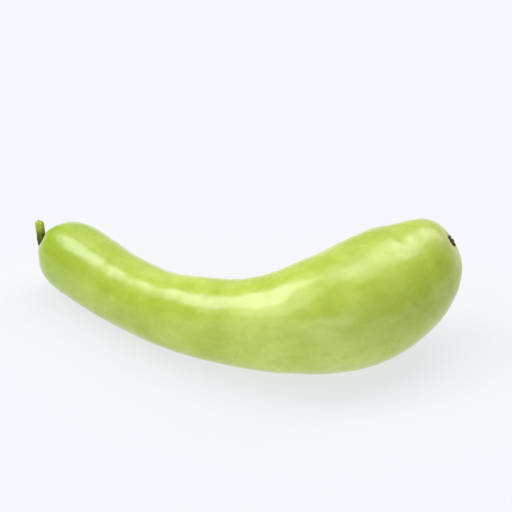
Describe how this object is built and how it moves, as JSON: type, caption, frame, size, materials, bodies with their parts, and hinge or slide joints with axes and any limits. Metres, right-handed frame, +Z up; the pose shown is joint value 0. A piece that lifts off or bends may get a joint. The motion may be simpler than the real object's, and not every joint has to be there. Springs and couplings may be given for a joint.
{
  "type": "bottle gourd",
  "caption": "Curved bottle gourd as picked, lying on its side: a slim neck swells to a blunt thick end, with a short bent stalk and a corky flower scar.",
  "frame": {"origin": "on the surface the gourd lies on, under the middle of its bounding box", "axes": "+X runs from the stalk end to the blossom end, the body bows towards -Y, +Z is up"},
  "size_m": [0.3518, 0.1908, 0.1026],
  "materials": {
    "rind": "smooth waxy yellow-green rind with faint mottling, semi-gloss",
    "stalk": "ribbed green stalk, corky at its foot and pale at its cut, dull",
    "scar": "dry brown corky scar, matt"
  },
  "bodies": {
    "root": {"fruit": "rind", "stalk": "stalk", "flower_scar": "scar"}
  },
  "joints": []
}
